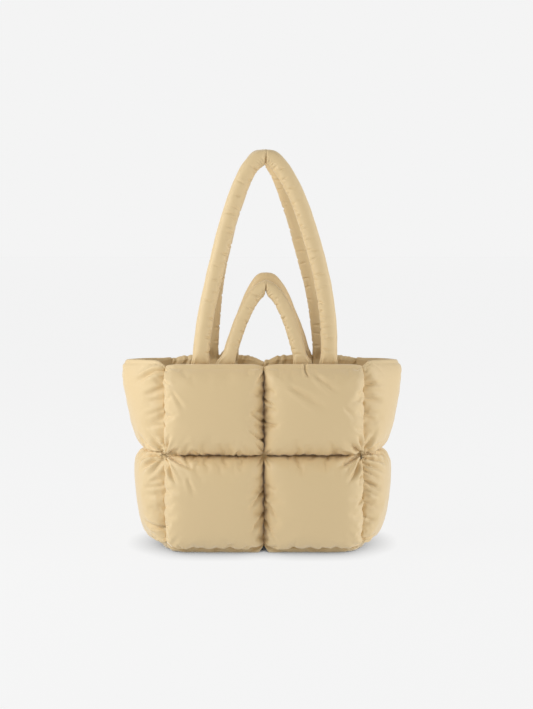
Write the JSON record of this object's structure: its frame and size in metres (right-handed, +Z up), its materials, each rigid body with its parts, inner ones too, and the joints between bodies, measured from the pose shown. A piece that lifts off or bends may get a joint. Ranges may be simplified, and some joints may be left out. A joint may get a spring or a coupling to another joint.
{
  "type": "puffer tote bag",
  "caption": "Soft quilted puffer tote with square cushioned panels, flared padded side wings, long shoulder straps and short hand handles.",
  "frame": {"origin": "centre of the outline in plan, on the surface that the bag's base rests on", "axes": "+Z up through the straps, -Y towards the front face, +X towards the right wing as seen from the front"},
  "size_m": [0.4152, 0.2128, 0.5873],
  "materials": {
    "shell": "matte nylon",
    "strap": "matte nylon",
    "base": "matte nylon"
  },
  "bodies": {
    "root": {"front_upper_left_cushion": "shell", "front_upper_right_cushion": "shell", "front_lower_left_cushion": "shell", "front_lower_right_cushion": "shell", "back_upper_left_cushion": "shell", "back_upper_right_cushion": "shell", "back_lower_left_cushion": "shell", "back_lower_right_cushion": "shell", "left_gusset_upper_cushion": "shell", "left_gusset_lower_cushion": "shell", "right_gusset_upper_cushion": "shell", "right_gusset_lower_cushion": "shell", "base_left_cushion": "base", "base_right_cushion": "base", "front_long_strap": "strap", "back_long_strap": "strap", "front_short_handle": "strap", "back_short_handle": "strap"}
  },
  "joints": []
}
